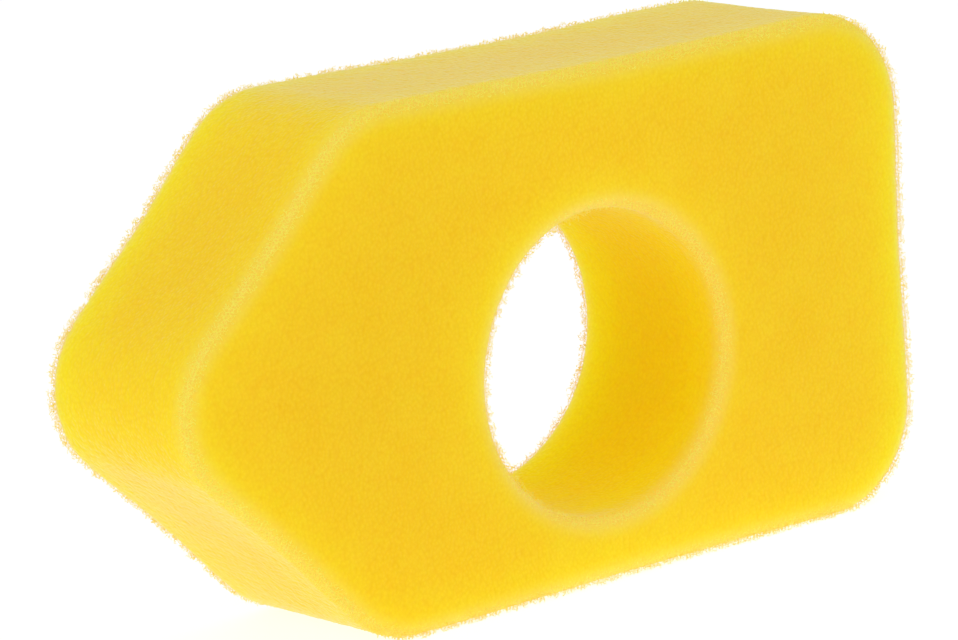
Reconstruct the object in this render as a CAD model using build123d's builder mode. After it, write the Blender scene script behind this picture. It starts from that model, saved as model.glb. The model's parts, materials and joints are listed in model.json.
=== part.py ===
from build123d import *
from math import radians, sin, tan
import os

# Foam air filter element: a die-cut block of open-cell foam, pointed at one end, with a round throat
# hole through it. The real thing is one piece of foam, so it is one part.
#
# Frame, in millimetres: the origin is on the axis of the throat hole, at half the thickness. +X runs along
# the length towards the square end, so the point is at -X. +Y runs along the hole. +Z runs up across the
# width, and the block stands on one long edge.

os.makedirs("parts", exist_ok=True)

# Driving dimensions
LENGTH = 110.0  # from the rounded point to the square end
WIDTH = 61.0  # between the two long edges
THICKNESS = 25.4  # one-inch foam sheet
POINT_ANGLE = 90.0  # between the two slanted edges
POINT_RADIUS = 11.2
SHOULDER_RADIUS = 13.0  # where a slanted edge meets a long edge
END_RADIUS = 12.6  # the two corners of the square end
HOLE_DIAMETER = 36.0
HOLE_TO_END = 49.0  # from the hole's axis to the square end
HOLE_BELOW_MIDDLE = 4.7  # the hole sits nearer the lower long edge
CREASE_RADIUS = 1.0  # soft edge where a cut wall meets a flat face

# Derived dimensions
half_point_angle = radians(POINT_ANGLE / 2)
rounding_cut_back = POINT_RADIUS / sin(half_point_angle) - POINT_RADIUS
x_end = HOLE_TO_END
x_point = x_end - LENGTH - rounding_cut_back
x_shoulder = x_point + WIDTH / 2 / tan(half_point_angle)
z_middle = HOLE_BELOW_MIDDLE
z_top = z_middle + WIDTH / 2
z_bottom = z_middle - WIDTH / 2

with BuildPart() as foam_block:
    # The outline lies at half the thickness and grows equally to both sides.
    with BuildSketch(Plane.XZ) as outline:
        with BuildLine():
            Polyline(
                (x_point, z_middle),
                (x_shoulder, z_top),
                (x_end, z_top),
                (x_end, z_bottom),
                (x_shoulder, z_bottom),
                close=True,
            )
        make_face()
        # Taken from the point to the square end: the point, then the shoulders, then the end corners.
        fillet(outline.vertices().group_by(Axis.X)[0], radius=POINT_RADIUS)
        fillet(outline.vertices().group_by(Axis.X)[1], radius=SHOULDER_RADIUS)
        fillet(outline.vertices().group_by(Axis.X)[-1], radius=END_RADIUS)
        Circle(HOLE_DIAMETER / 2, mode=Mode.SUBTRACT)
    extrude(amount=THICKNESS / 2, both=True)

    # Both flat faces have soft edges, the rims of the hole included.
    flat_faces = foam_block.faces().filter_by(Axis.Y)
    fillet(flat_faces.edges(), radius=CREASE_RADIUS)

foam_block.part.label = "foam_block"
export_step(foam_block.part, "parts/foam_block.step")
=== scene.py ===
import itertools
import json
import math

import bpy
import numpy as np
from mathutils import Matrix, Vector, noise


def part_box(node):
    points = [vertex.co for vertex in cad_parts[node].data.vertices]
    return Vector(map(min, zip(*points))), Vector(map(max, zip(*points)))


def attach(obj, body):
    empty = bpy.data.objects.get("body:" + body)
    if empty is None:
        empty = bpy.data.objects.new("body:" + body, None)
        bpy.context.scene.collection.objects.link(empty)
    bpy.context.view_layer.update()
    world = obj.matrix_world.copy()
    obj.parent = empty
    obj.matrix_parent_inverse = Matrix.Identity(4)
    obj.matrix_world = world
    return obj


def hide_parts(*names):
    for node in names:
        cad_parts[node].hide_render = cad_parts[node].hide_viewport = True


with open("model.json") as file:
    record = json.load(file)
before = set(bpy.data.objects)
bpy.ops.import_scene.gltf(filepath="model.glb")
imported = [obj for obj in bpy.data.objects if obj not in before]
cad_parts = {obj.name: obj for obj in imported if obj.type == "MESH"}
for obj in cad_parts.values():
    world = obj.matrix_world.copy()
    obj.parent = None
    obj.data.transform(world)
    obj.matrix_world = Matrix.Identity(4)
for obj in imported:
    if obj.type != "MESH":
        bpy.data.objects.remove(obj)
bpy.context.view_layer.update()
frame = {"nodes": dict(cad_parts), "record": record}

# A die-cut block of open-cell filter foam. Everything is in metres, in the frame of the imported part: the
# origin is on the throat hole's axis at half the thickness, +X runs to the square end, +Y along the hole.

MM = 0.001

# ---- The block's shape ------------------------------------------------------------------------------
BLOCK_LOW, BLOCK_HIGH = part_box("foam_block")
HALF_THICKNESS = (BLOCK_HIGH.y - BLOCK_LOW.y) / 2
WIDTH = BLOCK_HIGH.z - BLOCK_LOW.z
MIDDLE_Z = (BLOCK_HIGH.z + BLOCK_LOW.z) / 2
FLOOR_Z = BLOCK_LOW.z
THROAT_HOLE = next(mount for mount in frame["record"]["mounts"] if mount["name"] == "throat_hole")
HOLE_RADIUS = THROAT_HOLE["dims"]["r_mm"] * MM

POINT_RADIUS = 11.2 * MM
SHOULDER_RADIUS = 13.0 * MM
END_RADIUS = 12.6 * MM
SIDE_BOW = 0.3 * MM  # how far a cut side draws in between its corners
WALL_DISH = 0.15 * MM  # how far a cut wall draws in at half the thickness
OUTER_CREASE = 2.1 * MM  # radius of the solid core's creases, under the open cells of the rims
HOLE_CREASE = 1.8 * MM

VOXEL = 0.3 * MM  # of the even mesh
RELIEF = (  # size and height of the slow unevenness, the soft lumps and the cut cells
    (14 * MM, 0.12 * MM),
    (2.2 * MM, 0.035 * MM),
    (0.55 * MM, 0.065 * MM),
)
CREASE_REACH = 3.2 * MM  # how far in from a crease the painted light reaches
HOLE_LIGHT_DEPTH = 1.5 * MM  # how deep behind the hole's wall the foam takes the painted light of the hole's wall
HOLE_BLEND = 5 * MM  # how far in from the flat faces that painted light takes to reach its full strength

# ---- The open cells of the rims ---------------------------------------------------------------------
CELL = 0.52 * MM  # pitch of the cells
STRUT = 0.032 * MM  # half the width of a cell's strut
JITTER = 0.22  # of the cells' corners, in cells
SURFACE_CUT = (-0.4 * MM, 0.1 * MM)  # struts are cut off at a depth between these, so some stand out
BURIED = 0.03 * MM  # struts deeper than this in the core are left out
SHORTEST_STRUT = 0.03 * MM
CORNER_LEFT = 0.55  # share of the struts left right at the sharp corner
CORNER_TEAR = 0.7  # where every strut is left, in crease radii from the sharp corner
WEB_REACH = (0.3, 0.85)  # how far the web reaches along the faces, in crease radii
CUT_END = -1  # stands for the joint at a strut's cut end
LONGEST_CHAIN = 20  # struts between the core and the outermost one
SEED = 7


def corner_points():
    """The sharp outline in the XZ plane, as (x, z, corner radius), going round."""
    sharp_x = BLOCK_LOW.x - POINT_RADIUS * (math.sqrt(2) - 1)
    shoulder_x = sharp_x + WIDTH / 2
    return [
        (sharp_x, MIDDLE_Z, POINT_RADIUS),
        (shoulder_x, BLOCK_HIGH.z, SHOULDER_RADIUS),
        (BLOCK_HIGH.x, BLOCK_HIGH.z, END_RADIUS),
        (BLOCK_HIGH.x, BLOCK_LOW.z, END_RADIUS),
        (shoulder_x, BLOCK_LOW.z, SHOULDER_RADIUS),
    ]


def outline(arc_steps=16, side_steps=24):
    """The block's outline as a closed line of points: rounded corners and sides that bow in a little."""
    corners = corner_points()
    middle = np.mean([corner[:2] for corner in corners], axis=0)
    arcs = []
    # Each corner's arc, from the end of the side before it to the start of the side after it.
    for i, (x, z, radius) in enumerate(corners):
        here = np.array([x, z])
        back = np.array(corners[i - 1][:2]) - here
        ahead = np.array(corners[(i + 1) % len(corners)][:2]) - here
        back /= np.linalg.norm(back)
        ahead /= np.linalg.norm(ahead)
        half = math.acos(float(back @ ahead)) / 2
        centre = here + (back + ahead) / np.linalg.norm(back + ahead) * radius / math.sin(half)
        first = here + back * radius / math.tan(half) - centre
        last = here + ahead * radius / math.tan(half) - centre
        turn = math.atan2(first[0] * last[1] - first[1] * last[0], float(first @ last))
        angles = np.linspace(0, turn, arc_steps)
        cos, sin = np.cos(angles), np.sin(angles)
        x_part = first[0] * cos - first[1] * sin
        z_part = first[0] * sin + first[1] * cos
        arcs.append(centre + np.stack([x_part, z_part], 1))
    points = []
    for arc, after in zip(arcs, arcs[1:] + arcs[:1]):
        start, end = arc[-1], after[0]
        along = (end - start) / np.linalg.norm(end - start)
        inward = np.array([-along[1], along[0]])
        inward *= np.sign(inward @ (middle - start))
        share = np.linspace(0, 1, side_steps + 1)[1:-1, None]
        side = start + (end - start) * share + inward * SIDE_BOW * np.sin(math.pi * share) ** 2
        points += [arc, side]
    return np.concatenate(points)


OUTLINE = outline()
NEXT = np.roll(OUTLINE, -1, axis=0)
ORIENTATION = np.sign((OUTLINE[:, 0] * NEXT[:, 1] - OUTLINE[:, 1] * NEXT[:, 0]).sum())


def outline_depth(points):
    """How far points (x, z) lie inside the outline, and the unit direction that leads further in."""
    sides = NEXT - OUTLINE
    depth = np.empty(len(points))
    inward = np.empty((len(points), 2))
    chunk = 20000  # points at a time, to save memory
    for low in range(0, len(points), chunk):
        p = points[low : low + chunk, None]
        share = np.clip(((p - OUTLINE) * sides).sum(2) / (sides**2).sum(1), 0, 1)
        gap = p - (OUTLINE + sides * share[:, :, None])
        distance = np.linalg.norm(gap, axis=2)
        nearest = distance.argmin(1)
        row = np.arange(len(nearest))
        gap, distance = gap[row, nearest], distance[row, nearest]
        side = sides[nearest]
        cross = side[:, 0] * gap[:, 1] - side[:, 1] * gap[:, 0]
        inside = np.where(cross * ORIENTATION > 0, 1.0, -1.0)
        depth[low : low + chunk] = distance * inside
        # Right on the line the gap has no direction, so the side's own normal is used.
        normal = np.stack([-side[:, 1], side[:, 0]], 1) * ORIENTATION
        normal /= np.linalg.norm(normal, axis=1, keepdims=True)
        clear = distance > 1e-7
        smooth = gap / np.maximum(distance, 1e-12)[:, None] * inside[:, None]
        inward[low : low + chunk] = np.where(clear[:, None], smooth, normal)
    return depth, inward


def depths(points):
    """Points' depth behind the walls and the faces, the way in from the walls, and the crease radius."""
    flat = np.stack([points[:, 0], points[:, 2]], 1)
    outer, outer_in = outline_depth(flat)
    radius = np.linalg.norm(flat, axis=1)
    hole = radius - HOLE_RADIUS
    hole_in = flat / np.maximum(radius, 1e-9)[:, None]
    waist = 1 - np.clip(np.abs(points[:, 1]) / HALF_THICKNESS, 0, 1) ** 2
    nearer_hole = hole < outer
    wall = np.where(nearer_hole, hole, outer) - WALL_DISH * waist
    wall_in = np.where(nearer_hole[:, None], hole_in, outer_in)
    face = HALF_THICKNESS - np.abs(points[:, 1])
    return wall, face, wall_in, np.where(nearer_hole, HOLE_CREASE, OUTER_CREASE)


def core_depth(wall, face, crease):
    """Depth under the solid core's surface, whose creases are rounded."""
    rounded = crease - np.hypot(crease - wall, crease - face)
    return np.where((wall < crease) & (face < crease), rounded, np.minimum(wall, face))


def core_normal(points, wall, face, wall_in, crease):
    """The outward direction of the core's nearest surface."""
    in_crease = (wall < crease) & (face < crease)
    out_wall = np.where(in_crease, crease - wall, np.where(wall < face, 1.0, 0.0))
    out_face = np.where(in_crease, crease - face, np.where(wall < face, 0.0, 1.0))
    x_part = -wall_in[:, 0] * out_wall
    y_part = np.sign(points[:, 1]) * out_face
    z_part = -wall_in[:, 1] * out_wall
    normal = np.stack([x_part, y_part, z_part], 1)
    return normal / np.maximum(np.linalg.norm(normal, axis=1), 1e-12)[:, None]


def even_mesh():
    """The CAD solid's surface as a mesh of small, even faces."""
    rough = bpy.data.objects.new("foam_rough", frame["nodes"]["foam_block"].data.copy())
    bpy.context.scene.collection.objects.link(rough)
    remesh = rough.modifiers.new("even", "REMESH")
    remesh.mode = "VOXEL"
    remesh.voxel_size = VOXEL
    bpy.context.view_layer.update()
    evaluated = rough.evaluated_get(bpy.context.evaluated_depsgraph_get())
    mesh = bpy.data.meshes.new_from_object(evaluated)
    bpy.data.objects.remove(rough)
    return mesh


def foam_core(material):
    """The block's solid body: the even mesh, settled on the soft shape, with relief of its own."""
    mesh = even_mesh()
    points = np.empty(len(mesh.vertices) * 3)
    mesh.vertices.foreach_get("co", points)
    points = points.reshape(-1, 3)
    for _ in range(2):
        wall, face, wall_in, crease = depths(points)
        normal = core_normal(points, wall, face, wall_in, crease)
        points += normal * core_depth(wall, face, crease)[:, None]
    relief = np.zeros(len(points))
    for size, height in RELIEF:
        relief += height * np.array([noise.noise(Vector(p) / size) for p in points])
    points += normal * relief[:, None]
    mesh.vertices.foreach_set("co", points.ravel())

    # What the material reads: how near a point is to a crease, and how much it belongs to the hole's wall;
    # both place painted light in the colour and thin the haze.
    near_crease = np.clip(1 - np.maximum(wall, face) / CREASE_REACH, 0, 1)
    from_hole = np.hypot(points[:, 0], points[:, 2]) - HOLE_RADIUS
    in_hole = np.clip(1 - from_hole / HOLE_LIGHT_DEPTH, 0, 1) * np.clip(face / HOLE_BLEND, 0, 1)
    for attribute, values in (("crease", near_crease), ("in_hole", in_hole)):
        layer = mesh.attributes.new(attribute, "FLOAT", "POINT")
        layer.data.foreach_set("value", values.astype(np.float32))
    mesh.update()
    mesh.shade_smooth()
    mesh.materials.clear()
    mesh.materials.append(material)
    block = bpy.data.objects.new("foam_body", mesh)
    bpy.context.scene.collection.objects.link(block)
    return block


def kelvin_cells():
    """The corners of a foam's cells in one cube of their lattice, and the struts between them."""
    quarters = itertools.product((0.0, 0.25, 0.5, 0.75), repeat=3)
    corners = [p for p in quarters if sorted(p) in ([0, 0.25, 0.5], [0, 0.5, 0.75])]
    strut_length = math.sqrt(2) / 4
    struts = []
    for i, p in enumerate(corners):
        for j, q in enumerate(corners):
            for cube in itertools.product((-1, 0, 1), repeat=3):
                gap = np.array(q) + cube - p
                if i < j and abs(np.linalg.norm(gap) - strut_length) < 1e-6:
                    struts.append((i, j, *cube))
    return np.array(corners), np.array(struts)


def along_loop(loop):
    """A closed line's length, and a function from the way along it to points and directions into the foam."""
    closed = np.concatenate([loop, loop[:1]])
    steps = np.linalg.norm(np.diff(closed, axis=0), axis=1)
    way = np.concatenate([[0], np.cumsum(steps)])
    chord = np.roll(loop, -1, axis=0) - np.roll(loop, 1, axis=0)
    inward = np.stack([-chord[:, 1], chord[:, 0]], 1) / np.linalg.norm(chord, axis=1)[:, None]
    inward = np.concatenate([inward, inward[:1]])

    def place(s):
        s = np.mod(s, way[-1])
        point = np.stack([np.interp(s, way, closed[:, k]) for k in range(2)], 1)
        into = np.stack([np.interp(s, way, inward[:, k]) for k in range(2)], 1)
        return point, into / np.linalg.norm(into, axis=1)[:, None]

    return way[-1], place


def cell_web(count, deep, random):
    """The struts of a jittered foam lattice that closes on itself after count cells: their ends and joints.

    The first coordinate runs along the rim, the second into the foam from the wall, the third from the face.
    """
    corners, struts = kelvin_cells()
    number = len(corners)
    rows = deep + 1
    inward = np.arange(-1, deep)
    cubes = np.stack(np.meshgrid(np.arange(count), inward, inward, indexing="ij"), -1).reshape(-1, 3)

    def index(cube, corner):
        column = (cube[:, 0] % count) * rows + cube[:, 1] + 1
        return (column * rows + cube[:, 2] + 1) * number + corner

    nodes = (cubes[:, None] + corners).reshape(-1, 3)
    nodes = nodes + random.uniform(-JITTER, JITTER, nodes.shape)
    start = np.repeat(cubes, len(struts), axis=0)
    pair = np.tile(struts, (len(cubes), 1))
    end = start + pair[:, 2:]
    inside = ((end[:, 1:] >= -1) & (end[:, 1:] < deep)).all(1)
    start, pair, end = start[inside], pair[inside], end[inside]
    joints = np.stack([index(start, pair[:, 0]), index(end, pair[:, 1])], 1)
    a, b = nodes[joints[:, 0]] * CELL, nodes[joints[:, 1]] * CELL
    wrap = count * CELL
    b[:, 0] += np.round((a[:, 0] - b[:, 0]) / wrap) * wrap
    return a, b, joints


def cut_at_surface(a, b, joints, random):
    """The struts, cut off near the block's surface where they run out of it. A cut end has joint CUT_END."""
    for k in (1, 2):
        cut = random.uniform(*SURFACE_CUT, len(a))
        both = np.maximum(a[:, k], b[:, k]) > cut
        a, b, cut, joints = a[both], b[both], cut[both], joints[both]
        for which, (p, q) in enumerate(((a, b), (b, a))):
            rise = q[:, k] - p[:, k]
            share = np.clip((cut - p[:, k]) / np.where(abs(rise) < 1e-9, 1e-9, rise), 0, 1)
            share = np.where(p[:, k] < cut, share, 0)
            p += (q - p) * share[:, None]
            joints[share > 0, which] = CUT_END
    return a, b, joints


def hanging_on(joints, rooted):
    """Which struts hang on to the core, straight or through others. A cut end joins nothing."""
    held = np.zeros(joints.max() + 2, bool)
    held[joints[rooted]] = True
    for _ in range(LONGEST_CHAIN):
        held[CUT_END] = False
        held[joints[held[joints].any(1)]] = True
    held[CUT_END] = False
    return held[joints].any(1) | rooted.any(1)


def open_rim(name, loop, turn, crease, side, random, material):
    """The open cells of one rim: a web of struts that fills the corner outside the rounded core."""
    length, place = along_loop(loop)
    count = round(length / CELL)
    a, b, joints = cell_web(count, math.ceil(crease / CELL) + 1, random)
    a, b, joints = cut_at_surface(a, b, joints, random)

    depth_a = core_depth(a[:, 1], a[:, 2], crease)
    depth_b = core_depth(b[:, 1], b[:, 2], crease)
    shown = np.minimum(depth_a, depth_b) < BURIED
    shown &= np.linalg.norm(b - a, axis=1) > SHORTEST_STRUT
    # Cells are torn off more towards the sharp corner, and the web thins out where it meets the flat faces.
    corner = (a + b)[:, 1:].sum(1) / 2
    reach = np.maximum(a[:, 1:].max(1), b[:, 1:].max(1))
    shown &= random.uniform(0, 1, len(a)) < np.clip(corner / (CORNER_TEAR * crease), CORNER_LEFT, 1)
    shown &= reach < crease * random.uniform(*WEB_REACH, len(a))
    rooted = np.stack([depth_a > 0, depth_b > 0], 1)[shown]
    kept = hanging_on(joints[shown], rooted)
    a, b = a[shown][kept], b[shown][kept]

    def to_frame(p):
        point, into = place(p[:, 0] * length / (count * CELL))
        flat = point + into * turn * p[:, 1:2]
        return np.stack([flat[:, 0], side * (HALF_THICKNESS - p[:, 2]), flat[:, 1]], 1)

    return strut_piece(name, to_frame(a), to_frame(b), random, material)


def strut_piece(name, a, b, random, material):
    """One mesh of struts from points a to points b, each a closed sliver of four triangles."""
    along = b - a
    along /= np.linalg.norm(along, axis=1)[:, None]
    across = np.cross(along, random.normal(size=along.shape))
    across /= np.linalg.norm(across, axis=1)[:, None]
    third = np.cross(along, across)
    thick = STRUT * random.uniform(0.7, 1.3, len(a))[:, None]
    points = np.stack([a - across * thick, a + across * thick, b - third * thick, b + third * thick], 1)
    sliver = np.array([(0, 1, 2), (0, 3, 1), (0, 2, 3), (1, 3, 2)])
    faces = (np.arange(len(a))[:, None, None] * 4 + sliver).reshape(-1, 3)
    mesh = bpy.data.meshes.new(name)
    mesh.vertices.add(len(a) * 4)
    mesh.vertices.foreach_set("co", points.ravel())
    mesh.loops.add(faces.size)
    mesh.loops.foreach_set("vertex_index", faces.ravel())
    mesh.polygons.add(len(faces))
    mesh.polygons.foreach_set("loop_start", np.arange(len(faces)) * 3)
    mesh.update(calc_edges=True)
    mesh.validate()
    mesh.shade_flat()
    mesh.materials.append(material)
    piece = bpy.data.objects.new(name, mesh)
    bpy.context.scene.collection.objects.link(piece)
    return piece


def open_rims(material):
    """The open cells round the outline and round the hole, on the front and on the back."""
    random = np.random.default_rng(SEED)
    angles = np.linspace(0, 2 * math.pi, 180, endpoint=False)
    hole = HOLE_RADIUS * np.stack([np.cos(angles), np.sin(angles)], 1)
    rims = []
    for side, word in ((-1, "front"), (1, "back")):
        outer_name, hole_name = f"outer_rim_{word}", f"hole_rim_{word}"
        rims.append(open_rim(outer_name, OUTLINE, ORIENTATION, OUTER_CREASE, side, random, material))
        rims.append(open_rim(hole_name, hole, -1.0, HOLE_CREASE, side, random, material))
    return rims


# ---- Materials --------------------------------------------------------------------------------------
FOAM_DARK = (0.962, 0.63, 0.014)
FOAM_LIGHT = (0.972, 0.655, 0.018)
# painted light: the hole's wall is lighter and deeper yellow than the foam around it
HOLE_WALL_PAINTED_LIGHT = (0.994, 0.735, 0.003)
PORE_SHADE = (0.95, 0.88, 0.6)
# painted light along the creases, a pale glow at the thin edges
CREASE_PAINTED_LIGHT = (0.985, 0.68, 0.18)
CREASE_FADE = 2.0  # power by which the painted light at the creases falls off
STRUT_DARK = (0.985, 0.81, 0.11)
STRUT_LIGHT = (0.99, 0.86, 0.20)
MOTTLE_SIZE = 5 * MM
STRUT_MOTTLE_SIZE = 0.8 * MM
PORE_SIZE = 0.42 * MM
PORE_DEPTH = 0.2 * MM
SCATTER_DEPTH = 12 * MM
HAZE = 0.6
HAZE_CLEAN = 0.2  # in the hole and at the creases
FLOOR_GREY = 0.35
GLOW_MIDDLE = (0.03, -0.07, FLOOR_Z)
GLOW_NEAR, GLOW_FAR = 0.03, 0.2  # distances between which the floor's glow falls
GLOW_HIGH, GLOW_LOW = 0.84, 0.715


def new_material(name):
    """A new material, its node tree and its shader."""
    made = bpy.data.materials.new(name)
    made.use_nodes = True
    return made, made.node_tree, made.node_tree.nodes["Principled BSDF"]


def set_inputs(node, values):
    for socket, value in values.items():
        node.inputs[socket].default_value = value


def position(tree):
    return tree.nodes.new("ShaderNodeNewGeometry").outputs["Position"]


def attribute(tree, name):
    node = tree.nodes.new("ShaderNodeAttribute")
    node.attribute_name = name
    return node.outputs["Fac"]


def mottled(tree, size, detail, dark, light):
    """A colour that drifts between two shades over lengths of about the given size."""
    drift = tree.nodes.new("ShaderNodeTexNoise")
    set_inputs(drift, {"Scale": 1 / size, "Detail": detail})
    tint = tree.nodes.new("ShaderNodeValToRGB")
    for element, place, colour in zip(tint.color_ramp.elements, (0.3, 0.7), (dark, light)):
        element.position = place
        element.color = (*colour, 1)
    tree.links.new(position(tree), drift.inputs["Vector"])
    tree.links.new(drift.outputs["Fac"], tint.inputs["Fac"])
    return tint.outputs["Color"]


def turned(tree, colour, share, towards, kind="MIX"):
    """A colour mixed with (or multiplied by) a plain one, as far as share says."""
    mix = tree.nodes.new("ShaderNodeMix")
    mix.data_type = "RGBA"
    mix.blend_type = kind
    mix.inputs["B"].default_value = (*towards, 1)
    tree.links.new(share, mix.inputs["Factor"])
    tree.links.new(colour, mix.inputs["A"])
    return mix.outputs["Result"]


def mapped(tree, value, from_low, from_high, to_low, to_high, kind="LINEAR"):
    reach = tree.nodes.new("ShaderNodeMapRange")
    reach.interpolation_type = kind
    set_inputs(reach, {"From Min": from_low, "From Max": from_high, "To Min": to_low, "To Max": to_high})
    tree.links.new(value, reach.inputs["Value"])
    return reach.outputs["Result"]


def foam_material():
    """Yellow foam: light goes deep into it, its cut surface has a pale haze, and painted light makes its
    creases paler and its hole's wall lighter.
    """
    made, tree, shader = new_material("filter_foam")
    cells = tree.nodes.new("ShaderNodeTexVoronoi")
    cells.feature = "SMOOTH_F1"
    set_inputs(cells, {"Scale": 1 / PORE_SIZE, "Smoothness": 0.4})
    tree.links.new(position(tree), cells.inputs["Vector"])
    crease = tree.nodes.new("ShaderNodeMath")
    crease.operation = "POWER"
    crease.inputs[1].default_value = CREASE_FADE
    tree.links.new(attribute(tree, "crease"), crease.inputs[0])
    in_hole = attribute(tree, "in_hole")

    colour = mottled(tree, MOTTLE_SIZE, 6, FOAM_DARK, FOAM_LIGHT)
    # Painted light on the hole's wall: lighter and deeper yellow than the faces.
    colour = turned(tree, colour, in_hole, HOLE_WALL_PAINTED_LIGHT)
    colour = turned(tree, colour, cells.outputs["Distance"], PORE_SHADE, "MULTIPLY")
    # Painted light: the creases are paler, as if lit through their thin edges.
    colour = turned(tree, colour, crease.outputs["Value"], CREASE_PAINTED_LIGHT)
    tree.links.new(colour, shader.inputs["Base Color"])

    # The haze is thin in the hole and at the creases.
    clean = tree.nodes.new("ShaderNodeMath")
    clean.operation = "MAXIMUM"
    tree.links.new(crease.outputs["Value"], clean.inputs[0])
    tree.links.new(in_hole, clean.inputs[1])
    haze = mapped(tree, clean.outputs["Value"], 0, 1, HAZE, HAZE_CLEAN)
    tree.links.new(haze, shader.inputs["Sheen Weight"])

    bump = tree.nodes.new("ShaderNodeBump")
    bump.invert = True
    set_inputs(bump, {"Strength": 0.4, "Distance": PORE_DEPTH})
    tree.links.new(cells.outputs["Distance"], bump.inputs["Height"])
    tree.links.new(bump.outputs["Normal"], shader.inputs["Normal"])

    shader.inputs["Roughness"].default_value = 0.95
    shader.inputs["Specular IOR Level"].default_value = 0.12
    shader.inputs["Subsurface Weight"].default_value = 1.0
    shader.inputs["Subsurface Radius"].default_value = (1.0, 1.5, 0.4)
    shader.inputs["Subsurface Scale"].default_value = SCATTER_DEPTH
    shader.inputs["Sheen Roughness"].default_value = 0.33
    shader.inputs["Sheen Tint"].default_value = (1.0, 0.97, 0.95, 1)
    return made


def strut_material():
    """The open cells: paler than the body, because light goes through the thin web many times."""
    made, tree, shader = new_material("cut_cells")
    colour = mottled(tree, STRUT_MOTTLE_SIZE, 2, STRUT_DARK, STRUT_LIGHT)
    tree.links.new(colour, shader.inputs["Base Color"])
    shader.inputs["Roughness"].default_value = 0.8
    shader.inputs["Specular IOR Level"].default_value = 0.2
    return made


def floor_material():
    """White, and lit from inside like a light table, most of all in front of the object."""
    made, tree, shader = new_material("floor_white")
    reach = tree.nodes.new("ShaderNodeVectorMath")
    reach.operation = "DISTANCE"
    reach.inputs[1].default_value = GLOW_MIDDLE
    tree.links.new(position(tree), reach.inputs[0])
    distance = reach.outputs["Value"]
    glow = mapped(tree, distance, GLOW_NEAR, GLOW_FAR, GLOW_HIGH, GLOW_LOW, "SMOOTHSTEP")
    tree.links.new(glow, shader.inputs["Emission Strength"])
    shader.inputs["Emission Color"].default_value = (1, 1, 1, 1)
    shader.inputs["Base Color"].default_value = (FLOOR_GREY, FLOOR_GREY, FLOOR_GREY, 1)
    shader.inputs["Roughness"].default_value = 0.9
    return made


# ---- Camera, light and floor ------------------------------------------------------------------------
CAMERA_AZIMUTH = math.radians(39.68)
CAMERA_ELEVATION = math.radians(12.12)
CAMERA_ROLL = math.radians(3.8)
CAMERA_DISTANCE = 573.33 * MM
CAMERA_AIM = Vector((-7.48, 1.28, 4.90)) * MM
CAMERA_LENS = 185.47
ROOM_WHITE = 0.765
SOFTBOX_PLACE = Vector((-1.2, -0.2, 0.9))
SOFTBOX_SIDE = 1.0
SOFTBOX_POWER = 3.0
FLOOR_HALF_SIDE = 6.0


def look_from(azimuth, elevation):
    """Unit vector from the object to a viewer. Azimuth 0 is in front, at -Y, and positive goes towards -X."""
    level = math.cos(elevation)
    return Vector((-math.sin(azimuth) * level, -math.cos(azimuth) * level, math.sin(elevation)))


def add_camera():
    away = look_from(CAMERA_AZIMUTH, CAMERA_ELEVATION)
    data = bpy.data.cameras.new("camera")
    data.lens = CAMERA_LENS
    data.clip_start = 0.01
    data.clip_end = 50
    camera = bpy.data.objects.new("camera", data)
    bpy.context.scene.collection.objects.link(camera)
    facing = (-away).to_track_quat("-Z", "Y").to_matrix().to_4x4()
    rolled = facing @ Matrix.Rotation(-CAMERA_ROLL, 4, "Z")
    camera.matrix_world = Matrix.Translation(CAMERA_AIM + away * CAMERA_DISTANCE) @ rolled
    bpy.context.scene.camera = camera


def add_softbox():
    data = bpy.data.lights.new("left_softbox", "AREA")
    data.shape = "SQUARE"
    data.size = SOFTBOX_SIDE
    data.energy = SOFTBOX_POWER
    lamp = bpy.data.objects.new("left_softbox", data)
    bpy.context.scene.collection.objects.link(lamp)
    lamp.location = SOFTBOX_PLACE
    lamp.rotation_euler = (-SOFTBOX_PLACE).to_track_quat("-Z", "Y").to_euler()


def add_floor():
    half = FLOOR_HALF_SIDE
    corners = [(x * half, y * half, FLOOR_Z) for x, y in ((-1, -1), (1, -1), (1, 1), (-1, 1))]
    mesh = bpy.data.meshes.new("floor")
    mesh.from_pydata(corners, [], [(0, 1, 2, 3)])
    mesh.materials.append(floor_material())
    floor = bpy.data.objects.new("floor", mesh)
    bpy.context.scene.collection.objects.link(floor)


def add_studio():
    """A white room, a soft box on the left and a light-table floor."""
    world = bpy.data.worlds.new("studio")
    world.use_nodes = True
    set_inputs(world.node_tree.nodes["Background"], {"Color": (1, 1, 1, 1), "Strength": ROOM_WHITE})
    bpy.context.scene.world = world
    bpy.context.scene.view_settings.view_transform = "Standard"
    # Light that goes deep into foam bounces many times.
    bpy.context.scene.cycles.max_bounces = 24
    bpy.context.scene.cycles.diffuse_bounces = 16
    add_softbox()
    add_floor()


add_camera()
add_studio()
body = foam_core(foam_material())
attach(body, "root")
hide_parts("foam_block")
for rim in open_rims(strut_material()):
    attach(rim, "root")
